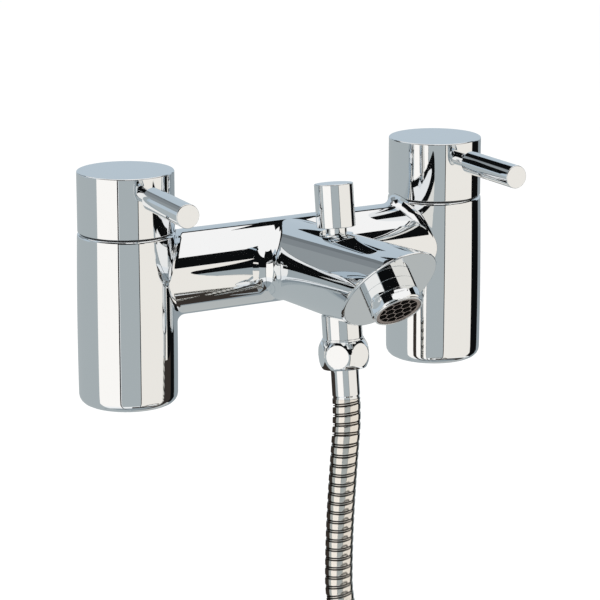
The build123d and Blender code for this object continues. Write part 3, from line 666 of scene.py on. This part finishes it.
shown("outlet", outlet, chrome, "mixer", ["shower_outlet"], sharp=40)

# %% [markdown]
# The union nut is turned to a ball and then milled to a hexagon. That order is why its flats end as
# circles. Holding a fine ball within a hexagonal bar gives the same shape, and a narrow bevel softens it.

# %% Union nut
NUT_BALL_RADIUS = 12.85
NUT_ACROSS_FLATS = 23
NUT_HEIGHT = 14.2
NUT_TURN = 44
LEDGE_BORE = 7.5
LEDGE_THICKNESS = 4.3
NUT_BEVEL = 0.22
THREAD_RADIUS = 10.5
WASHER = 2
TAIL_FLANGE = 1.8
FACE_FILM = 0.05
ledge_top = outlet_end - WASHER - TAIL_FLANGE - FACE_FILM
ledge_low = ledge_top - LEDGE_THICKNESS


def hexagonal_bar(across_flats, low, high, turn):
    """Bar between two heights, turned by an angle in degrees."""
    bm = bmesh.new()
    corner = across_flats / math.sqrt(3)
    bmesh.ops.create_cone(bm, cap_ends=True, segments=6, radius1=corner, radius2=corner, depth=high - low)
    bmesh.ops.translate(bm, vec=(0, 0, (high + low) / 2), verts=bm.verts)
    bmesh.ops.rotate(bm, cent=(0, 0, 0), matrix=Matrix.Rotation(math.radians(turn), 3, "Z"), verts=bm.verts)
    return bm


ball = bmesh.new()
bmesh.ops.create_uvsphere(ball, u_segments=160, v_segments=96, radius=NUT_BALL_RADIUS)
bmesh.ops.translate(ball, vec=(0, 0, ledge_low + NUT_HEIGHT / 2), verts=ball.verts)
nut = carved(ball, hexagonal_bar(NUT_ACROSS_FLATS, ledge_low, ledge_low + NUT_HEIGHT, NUT_TURN), "INTERSECT")
soft_edges = [e for e in nut.edges if len(e.link_faces) == 2 and e.calc_face_angle() > math.radians(14)]
bmesh.ops.bevel(
    nut, geom=soft_edges, offset=NUT_BEVEL, segments=2, profile=0.5, affect="EDGES", offset_type="OFFSET", material=-1
)
below, above = ledge_low - 3, ledge_low + 17
bore = lathe(
    [
        (0, below, 0), (LEDGE_BORE, below, 0), (LEDGE_BORE, ledge_top, 0), (THREAD_RADIUS, ledge_top, 0),
        (THREAD_RADIUS, above, 0), (0, above, 0),
    ],
    closed=False,
)
nut = set_at(carved(nut, bore), diverter_centre, diverter_way)
shown("union_nut", nut, chrome, "mixer", ["hose_union"], sharp=28)

# %% [markdown]
# The ferrule is a sleeve that is pressed over the hose's end. Its far edge is drawn in by the crimp, which
# the outline gives as a short step of radius.

# %% Hose ferrule
FERRULE_RADIUS = 6.9
CRIMP_RADIUS = 6.55
TAIL_RADIUS = 5.6
FERRULE_SET_BACK = 1.35
FERRULE_LENGTH = 18.2
ferrule_top = ledge_top - FERRULE_SET_BACK
ferrule_end = ferrule_top - FERRULE_LENGTH
ferrule = on_diverter(
    [
        (TAIL_RADIUS, ferrule_top, 0), (FERRULE_RADIUS, ferrule_top, 0.2), (FERRULE_RADIUS, ferrule_end + 1.9, 0.3),
        (CRIMP_RADIUS, ferrule_end + 1.1, 0.2), (CRIMP_RADIUS + 0.05, ferrule_end, 0.15),
        (TAIL_RADIUS, ferrule_end, 0),
    ],
    closed=True,
)
shown("ferrule", ferrule, chrome, "mixer", ["hose_ferrule"], sharp=40)

# %% [markdown]
# The aerator is a screwed ring that stands square on the slanted face. Spanner flats are milled round its
# tip. The cutter here is the waste that the mill takes off: a wide collar less a hexagonal bar. The side
# of the collar toward the spout slopes, so each flat runs out in a curve, as one on a round bar does.

# %% Aerator ring
RING_RADIUS = 13.0
RING_BORE = 10.2
RING_THREAD_RADIUS = 11.95
THREAD_DEPTH = 7
BORE_SHOULDER = 2
GROOVE_LEVEL = 5.5
ACROSS_FLATS = 24.6
FLATS_START = 7.2
RUN_OUT = 2.4
TIP = 12.0
MOUTH_RADIUS = 11.3
FLAT_TURN = -14
half_flats = ACROSS_FLATS / 2
ring = lathe(
    [
        (RING_BORE, -THREAD_DEPTH, 0), (RING_THREAD_RADIUS, -THREAD_DEPTH, 0), (RING_THREAD_RADIUS, 0, 0),
        (RING_RADIUS, 0, 0.15),
        (RING_RADIUS, GROOVE_LEVEL - 0.2, 0.08), (RING_RADIUS - 0.3, GROOVE_LEVEL - 0.1, 0),
        (RING_RADIUS - 0.3, GROOVE_LEVEL + 0.1, 0), (RING_RADIUS, GROOVE_LEVEL + 0.2, 0.08),
        (RING_RADIUS, TIP - 1.4, 0.3), (half_flats, TIP - 0.9, 0.2), (half_flats, TIP, 0.45),
        (MOUTH_RADIUS, TIP, 0.2), (MOUTH_RADIUS, BORE_SHOULDER, 0), (RING_BORE, BORE_SHOULDER, 0),
    ]
)
outside, past_tip = RING_RADIUS + 3, TIP + 3
collar = lathe(
    [
        (0, FLATS_START + RUN_OUT, 0), (half_flats, FLATS_START + RUN_OUT, 0), (RING_RADIUS + 0.2, FLATS_START, 0),
        (outside, FLATS_START, 0), (outside, past_tip, 0), (0, past_tip, 0),
    ],
    closed=False,
)
waste = carved(collar, hexagonal_bar(ACROSS_FLATS, 0, 2 * TIP, FLAT_TURN))
ring = set_at(carved(ring, waste), face_centre, face_way)
shown("spanner_ring", ring, chrome, "mixer", ["aerator_ring"], sharp=28)

# %% [markdown]
# A moulded honeycomb sits just inside the ring. Two rings of hexagonal bars round a middle one are held
# within a round field, and together they are the cutter for a plain disc. What is left between them is the
# thin wall of the comb. Its colour is painted dark a little below the front, as painted shade for where no light gets
# down.

# %% Honeycomb insert
INSERT_RADIUS = 11.2
INSERT_DEPTH = 4
INSERT_FRONT = TIP - 0.5
CELL_PITCH = 4.7
CELL_WALL = 0.35
CELL_DEPTH = 2.5
CELL_RINGS = 2
FIELD_RADIUS = 9.6


def depth_shade_finish(name, front_colour, painted_cell_shade, face_point, face_out, fade):
    """Moulded plastic that is pale at its front edges, with painted shade dark down in its cells."""
    made, shader, place = finish_named(name)
    parted = [place.node("ShaderNodeSeparateXYZ", None, {0: place}, axis) for axis in range(3)]
    along = sum((parted[i] * face_out[i] for i in range(3)), 0.0) - face_point.dot(face_out)
    deep = place.node("ShaderNodeMapRange", None, {0: along, 1: 0.0, 2: -fade, 3: 0.0, 4: 1.0})
    both = place.node("ShaderNodeMix", {"data_type": "RGBA"}, {0: deep, 6: front_colour, 7: painted_cell_shade}, 2)
    place.tree.links.new(both.socket, shader.inputs["Base Color"])
    shader.inputs["Roughness"].default_value = 0.45
    return made


cells = []
for column in range(-CELL_RINGS, CELL_RINGS + 1):
    for row in range(-CELL_RINGS, CELL_RINGS + 1):
        if abs(column + row) <= CELL_RINGS:
            cell = hexagonal_bar(CELL_PITCH - CELL_WALL, INSERT_FRONT - 3, INSERT_FRONT + 1, 0)
            across = Vector((column + row / 2, row * math.sqrt(0.75), 0)) * CELL_PITCH
            bmesh.ops.translate(cell, vec=across, verts=cell.verts)
            cells.append(cell)
print("cells:", len(cells))
cells = carved(joined(*cells), rod(FIELD_RADIUS, INSERT_FRONT - CELL_DEPTH, INSERT_FRONT + 0.5), "INTERSECT")
insert = carved(rod(INSERT_RADIUS, INSERT_FRONT - INSERT_DEPTH, INSERT_FRONT), cells)
insert = set_at(insert, face_centre, face_way)
insert_front = (face_centre + face_way * INSERT_FRONT) * MM
# The second colour is painted shade, faded in just below the comb's front.
honeycomb = depth_shade_finish("honeycomb", seen(128, 117, 110), seen(30, 26, 24), insert_front, face_way, 0.0001)
shown("honeycomb_insert", insert, honeycomb, "mixer", ["aerator_insert"], sharp=30)

# %% [markdown]
# The hose leaves the ferrule along the leaning axis, hangs down, and is laid in a flat coil in front of the
# mixer. Its line is a smooth curve drawn through control points. Half circles of points make the coil:
# the radius steps in and out again, and the middle half circle drops to the layer below.

# %% Route of the hose
LEAD = 24.3
LAYER = 14.6
COIL_RADIUS = 78
END_RUN = 74
HALF_TURN_POINTS = 14
RUN_END = Vector((71.9, -111.5, -163.9))
hose_exit = diverter_centre + diverter_way * ferrule_end
route = [
    hose_exit,
    hose_exit - diverter_way * 12 - Vector((0.4, 0, 0)),
    hose_exit - diverter_way * LEAD - Vector((2.6, 0, 0)),
    Vector((-2.5, -57.6, -68)),
    Vector((-2.5, -57.6, -112)),
    Vector((15.2, -69.0, -144.9)),
    Vector((41.5, -88.7, -163.9)),
    RUN_END,
]
heading = Vector((0.8, -0.6, 0))
point = RUN_END + heading * 14
for inset in (0, 1, 2, 1, 0):
    inward = Vector((heading.y, -heading.x, 0))
    radius = COIL_RADIUS - inset * LAYER / 2
    centre = point + inward * radius
    drop = LAYER if inset == 2 else 0
    grown = radius / math.cos(math.pi / HALF_TURN_POINTS / 2)
    for index in range(HALF_TURN_POINTS):
        angle = math.pi * (index + 0.5) / HALF_TURN_POINTS
        route.append(centre - inward * grown * math.cos(angle) + heading * grown * math.sin(angle))
        route[-1].z = point.z - drop * (0.5 - 0.5 * math.cos(angle))
    point = centre + inward * radius - Vector((0, 0, drop))
    heading = -heading
rise = Vector((0, 0, 4.8))
route += [point + heading * 10, point + heading * 26]
route += [point + heading * reach + rise for reach in (50, 60, END_RUN)]
end_point = route[-1]
print("control points:", len(route))

# %% [markdown]
# Blender works out the curve itself. The points of the curve object's mesh are read back as a track, and
# the lengths along it are added up once, so that any distance along the hose can be looked up.

# %% Track of the hose
curve = bpy.data.curves.new("route", "CURVE")
curve.dimensions = "3D"
spline = curve.splines.new("NURBS")
spline.points.add(len(route) - 1)
for place, control in zip(route, spline.points):
    control.co = (*place, 1)
spline.order_u = 3
spline.use_endpoint_u = True
curve.resolution_u = 24
line = bpy.data.objects.new("route", curve)
bpy.context.scene.collection.objects.link(line)
graph = bpy.context.evaluated_depsgraph_get()
traced = bpy.data.meshes.new_from_object(line.evaluated_get(graph))
track = [vertex.co.copy() for vertex in traced.vertices]
bpy.data.objects.remove(line)
lengths = [0]
for here, there in zip(track, track[1:]):
    lengths.append(lengths[-1] + (there - here).length)
hose_length = lengths[-1]
print("hose length", round(hose_length, 1))

# %% [markdown]
# A tube needs to know at each point which way is ahead and which way is to the side. The sideways
# direction is carried from point to point, so that the tube doesn't twist in its bends.

# %% Directions along the track


def frames_along(track):
    """Direction ahead and to the side at each point of the track, carried along without twist."""
    sides = []
    side = Vector((1, 0, 0))
    for index in range(len(track)):
        ahead = track[min(index + 1, len(track) - 1)] - track[max(index - 1, 0)]
        ahead.normalize()
        side = (side - ahead * side.dot(ahead)).normalized()
        sides.append((ahead, side.copy()))
    return sides


guides = frames_along(track)


def at_length(distance):
    """Point, direction and side at a distance along the track."""
    distance = min(max(distance, 0), hose_length)
    low, high = 0, len(lengths) - 1
    while high - low > 1:
        middle = (low + high) // 2
        if lengths[middle] > distance:
            high = middle
        else:
            low = middle
    share = (distance - lengths[low]) / (lengths[high] - lengths[low])
    ahead = guides[low][0].lerp(guides[high][0], share).normalized()
    side = guides[low][1].lerp(guides[high][1], share)
    side = (side - ahead * side.dot(ahead)).normalized()
    return track[low].lerp(track[high], share), ahead, side


print("points on the track:", len(track))

# %% [markdown]
# The hose is a steel strip wound into a tube, so its ribs are one long screw thread, with the thin fold of
# the strip's edge down in the groove. The tube is built from rings of points along the track. Each ring
# climbs by one pitch as it goes round and meets the next turn's ring, which makes the ribs run on as a
# helix. Each point also keeps how deep in the groove it lies, so the finish can paint the shade in the grooves.

# %% Ribbed hose
HOSE_RADIUS = 7.0
GROOVE_RADIUS = 5.9
FOLD_RADIUS = 6.75
SHOULDER_RADIUS = 6.8
PITCH = 5.0
# Distance along one pitch, radius, depth in the groove from 0 to 1.
RIB = [
    (0, GROOVE_RADIUS, 1), (0.4, GROOVE_RADIUS, 1), (0.5, FOLD_RADIUS, 0.2), (0.9, FOLD_RADIUS, 0.2),
    (1.0, GROOVE_RADIUS, 1), (1.4, GROOVE_RADIUS, 1), (1.55, SHOULDER_RADIUS, 0.3), (1.9, HOSE_RADIUS, 0),
    (4.5, HOSE_RADIUS, 0), (4.85, SHOULDER_RADIUS, 0.3),
]


def ribbed_hose(around=28):
    """Helical ribbed tube along the track: a broad rib and, in its groove, the thin fold of the strip's edge."""
    count = int(hose_length / PITCH)
    pitch = hose_length / count
    bm = bmesh.new()
    depth = bm.verts.layers.float.new("groove")
    rings = []
    for turn in range(-1, count):
        for offset, radius, sunk in RIB:
            ring = []
            for step in range(around):
                distance = (turn + step / around) * pitch + offset
                centre, ahead, side = at_length(distance)
                over = ahead.cross(side)
                angle = 2 * math.pi * step / around
                vert = bm.verts.new(centre + (side * math.cos(angle) + over * math.sin(angle)) * radius)
                vert[depth] = sunk
                ring.append(vert)
            rings.append(ring)
    per_turn = len(RIB)
    for index in range(len(rings) - 1):
        here, there = rings[index], rings[index + 1]
        for step in range(around - 1):
            bm.faces.new((here[step], here[step + 1], there[step + 1], there[step]))
        if index + per_turn + 1 < len(rings):
            bm.faces.new((here[-1], rings[index + per_turn][0], rings[index + per_turn + 1][0], there[-1]))
    bmesh.ops.remove_doubles(bm, verts=bm.verts, dist=0.001)
    bmesh.ops.recalc_face_normals(bm, faces=bm.faces)
    return bm


hose = shown("hose", ribbed_hose(), strip_steel, "mixer", ["hose_run", "hose_coil"], sharp=50)
hose_exit * MM

# %% [markdown]
# At the free end a long conical nut takes the handset. It is turned, with a straight rim at its mouth, and
# its outline gives heights from the end of the hose.

# %% Conical nut
CONE_BACK, CONE_BACK_RADIUS = -4.2, 8.4
CONE_RIM, CONE_RIM_RADIUS = 23.8, 11.8
CONE_MOUTH = 29.8
HANDSET_THREAD_RADIUS, HANDSET_THREAD_END = 10.5, 20.8
FLANGE_ROOM_RADIUS, FLANGE_REST = 9.85, 16.95
LEDGE_BACK = 14.95
SLEEVE_BORE = 7.05
cone = lathe(
    [
        (SLEEVE_BORE, CONE_BACK, 0), (CONE_BACK_RADIUS, CONE_BACK, 0.3), (CONE_RIM_RADIUS, CONE_RIM, 0),
        (CONE_RIM_RADIUS, CONE_MOUTH, 0.4), (HANDSET_THREAD_RADIUS, CONE_MOUTH, 0),
        (HANDSET_THREAD_RADIUS, HANDSET_THREAD_END, 0), (FLANGE_ROOM_RADIUS, HANDSET_THREAD_END, 0),
        (FLANGE_ROOM_RADIUS, FLANGE_REST, 0), (TAIL_RADIUS + 0.05, FLANGE_REST, 0),
        (TAIL_RADIUS + 0.05, LEDGE_BACK, 0), (SLEEVE_BORE, LEDGE_BACK, 0),
    ]
)
set_at(cone, end_point, heading)
shown("conical_nut", cone, chrome, "cone_nut_body", ["cone_nut"], sharp=30)

# %% [markdown]
# A mirror finish is lit by what stands round it. A photographer of chrome sets white and grey boards about
# it and leaves dark gaps between them, because the gaps draw the thin black lines that give it shape. Each
# board here glows evenly in its own tone. The white ones are brighter than white, because chrome gives
# back only about five sixths of the light. The boards show only in reflections, so from every side the
# background stays plain.

# %% Tones of the boards


def board_finish(name, colour):
    """Even glow of one colour."""
    made = bpy.data.materials.new(name)
    made.use_nodes = True
    tree = made.node_tree
    tree.nodes.clear()
    light = tree.nodes.new("ShaderNodeEmission")
    light.inputs["Color"].default_value = colour
    output = tree.nodes.new("ShaderNodeOutputMaterial")
    tree.links.new(light.outputs[0], output.inputs["Surface"])
    return made


tones = {
    "warm white": (268, 263, 258),
    "soft white": (262, 259, 257),
    "pale": (251, 245, 237),
    "low pale": (188, 191, 190),
    "light blue": (190, 203, 213),
    "mid grey": (177, 184, 186),
    "blue grey": (150, 159, 164),
    "band grey": (150, 156, 159),
    "dim grey": (135, 141, 145),
    "dark grey": (118, 124, 128),
    "dark brown": (58, 52, 48),
    "black": (14, 15, 16),
}
board_finishes = {tone: board_finish(tone + " board", seen(*colour)) for tone, colour in tones.items()}
print("tones:", len(board_finishes))

# %% [markdown]
# Each board is a piece of a ball round the mixer: a flat grid is made first, and its points are then moved
# to their azimuth and elevation. The nearer of two boards hides the farther, so narrow dark lines lie just
# inside the broad boards that they part.

# %% Boards round the mixer
BALL_MIDDLE = 0.06


def board(name, tone, bm):
    """A board that only reflections see."""
    mesh = bpy.data.meshes.new(name)
    bm.to_mesh(mesh)
    bm.free()
    mesh.materials.append(board_finishes[tone])
    made = bpy.data.objects.new(name, mesh)
    bpy.context.scene.collection.objects.link(made)
    made.visible_camera = False
    made.visible_diffuse = False
    made.visible_shadow = False
    made.visible_transmission = False
    return made


def grid_of_shares(columns, rows):
    """Flat grid whose points run from 0 to 1 both ways."""
    bm = bmesh.new()
    bmesh.ops.create_grid(bm, x_segments=columns, y_segments=rows, size=0.5)
    bmesh.ops.translate(bm, vec=(0.5, 0.5, 0), verts=bm.verts)
    return bm


def curved(name, tone, azimuths, elevations, radius):
    """Part of a ball round the mixer, between two azimuths (0 in front, 90 on the right) and two heights."""
    bm = grid_of_shares(24, 8)
    first, last = (math.radians(a) for a in azimuths)
    low, high = (math.radians(e) for e in elevations)
    for vert in bm.verts:
        turn = first + (last - first) * vert.co.x
        lift = low + (high - low) * vert.co.y
        flat = radius * math.cos(lift)
        vert.co = (flat * math.sin(turn), -flat * math.cos(turn), BALL_MIDDLE + radius * math.sin(lift))
    return board(name, tone, bm)


boards = [
    ("left white", "warm white", (-98, -47), (-41, 22), 2.9),
    ("left line", "black", (-48, -45.4), (-89, 22), 2.85),
    ("front grey", "mid grey", (-46, -2.2), (-41, 21), 1.3),
    ("front dark", "black", (-50, 12), (5, 21), 1.27),
    ("front line", "black", (-3, -1.2), (-60, 21), 1.29),
    ("front white", "pale", (-1.6, 74), (-41, 21), 1.3),
    ("right black", "black", (74, 106), (-38, 24), 2.8),
    ("right grey", "blue grey", (106, 150), (-40, 24), 2.9),
    ("back grey", "mid grey", (150, 262), (-89, 24), 2.9),
    ("low brown", "dark brown", (-20, 96), (-59, -45), 2.8),
    ("low side", "low pale", (90, 150), (-80, -40), 2.7),
    ("low grey", "blue grey", (-180, 180), (-89, -59), 2.9),
    ("upper black", "black", (-31, 120), (21, 44.5), 2.85),
    ("high left black", "black", (-102, -31), (21, 66), 2.6),
    ("upper left", "light blue", (-130, -102), (20, 50), 2.9),
    ("back light", "light blue", (95, 240), (-3, 34.3), 2.7),
    ("back line", "black", (120, 240), (31.8, 37), 2.65),
    ("back left dark", "dark grey", (181, 187), (9, 31.9), 2.6),
    ("back left middle", "dim grey", (187, 196), (9, 31.9), 2.6),
    ("back left band", "band grey", (196, 214), (9, 31.9), 2.6),
    ("overhead", "soft white", (-180, 180), (35, 90), 3.0),
]
for name, tone, azimuths, elevations, radius in boards:
    curved(name, tone, azimuths, elevations, radius)
print("boards:", len(boards))

# %% [markdown]
# Three darks are for a few pieces only, so they stand nearer and are small. One flag, well behind the
# mixer, darkens a strip by the spout's upper rim. The other gives the right lever its black stripe and
# darkens the tops of bridge and spout. Part of a drum round the hose is painted shade: it stands in for the
# shade below the deck that the hose hangs past, gives the ferrule and the ribs their dark edge, and shows a
# little in the pillars too.

# %% Flags and drum near the pieces


def flag(name, tone, behind, corners):
    """Flat board square to Y, at a distance behind the mixer, through (x, z) corners."""
    bm = bmesh.new()
    bm.faces.new([bm.verts.new((x, behind, z)) for x, z in corners])
    return board(name, tone, bm)


def drum(name, tone, centre, radius, azimuths, heights):
    """Part of an upright drum round a point of the plan."""
    bm = grid_of_shares(20, 1)
    first, last = (math.radians(a) for a in azimuths)
    low, high = heights
    for vert in bm.verts:
        turn = first + (last - first) * vert.co.x
        height = low + (high - low) * vert.co.y
        vert.co = (centre[0] + radius * math.sin(turn), centre[1] - radius * math.cos(turn), height)
    return board(name, tone, bm)


flag("black flag", "black", 0.3, [(0.035, 0.318), (0.11, 0.318), (0.14, 0.302), (0.14, 0.36), (0.035, 0.37)])
flag("lever flag", "black", 0.04, [(0.012, 0.113), (0.05, 0.113), (0.05, 0.155), (0.012, 0.158)])
# Painted shade: a dark drum that stands in for the shade below the deck, seen only in reflections.
drum("painted shade below", "dark brown", (0, -0.0576), 0.034, (168, 248), (-0.42, 0.010))
print("near pieces: two flags and a drum")

# %% [markdown]
# The floor is white and plain, just under the coil, and keeps the mixer's shadow. Mirrors don't see it, so
# that it doesn't wash out the dark boards below. The world lights everything evenly, and one wide lamp
# above gives the shadow a soft shape.

# %% Floor, world and lamp
FLOOR_LEVEL = -0.1862
FLOOR_HALF_WIDTH = 12
floor_mesh = bpy.data.meshes.new("floor")
bm = bmesh.new()
bmesh.ops.create_grid(bm, x_segments=1, y_segments=1, size=FLOOR_HALF_WIDTH)
bmesh.ops.translate(bm, vec=(0, 0, FLOOR_LEVEL), verts=bm.verts)
bm.to_mesh(floor_mesh)
bm.free()
floor_finish, floor_shader, _ = finish_named("white floor")
floor_shader.inputs["Base Color"].default_value = (1, 1, 1, 1)
floor_shader.inputs["Roughness"].default_value = 0.9
floor_shader.inputs["Specular IOR Level"].default_value = 0
floor_mesh.materials.append(floor_finish)
floor = bpy.data.objects.new("floor", floor_mesh)
bpy.context.scene.collection.objects.link(floor)
floor.visible_glossy = False

world = bpy.data.worlds.new("studio")
bpy.context.scene.world = world
world.use_nodes = True
background = world.node_tree.nodes["Background"]
background.inputs["Color"].default_value = (1, 1, 1, 1)
background.inputs["Strength"].default_value = 1

lamp_data = bpy.data.lights.new("wide lamp", "AREA")
lamp_data.shape = "SQUARE"
lamp_data.size = 1.6
lamp_data.energy = 6
lamp = bpy.data.objects.new("wide lamp", lamp_data)
lamp.location = (-0.4, -0.6, 1.9)
lamp.rotation_euler = (Vector((0, 0, 0)) - lamp.location).to_track_quat("-Z", "Y").to_euler()
lamp.visible_glossy = False
bpy.context.scene.collection.objects.link(lamp)
print("lamp power", lamp_data.energy)

# %% [markdown]
# The camera stands where the photograph's did: that place was found by fitting the outlines of the pillars,
# caps and knob. A long lens keeps the uprights nearly parallel.

# %% Camera
camera_data = bpy.data.cameras.new("camera")
camera_data.lens = 164.03
camera_data.sensor_width = 36
camera_data.clip_start = 0.01
camera_data.clip_end = 50
camera = bpy.data.objects.new("camera", camera_data)
camera.location = (-0.6796, -1.1702, 0.3743)
camera.rotation_mode = "QUATERNION"
camera.rotation_quaternion = Vector((0.49223867, 0.83684066, -0.23958047)).to_track_quat("-Z", "Y")
bpy.context.scene.collection.objects.link(camera)
bpy.context.scene.camera = camera
bpy.context.scene.view_settings.view_transform = "Standard"
print("lens", round(camera_data.lens, 1))
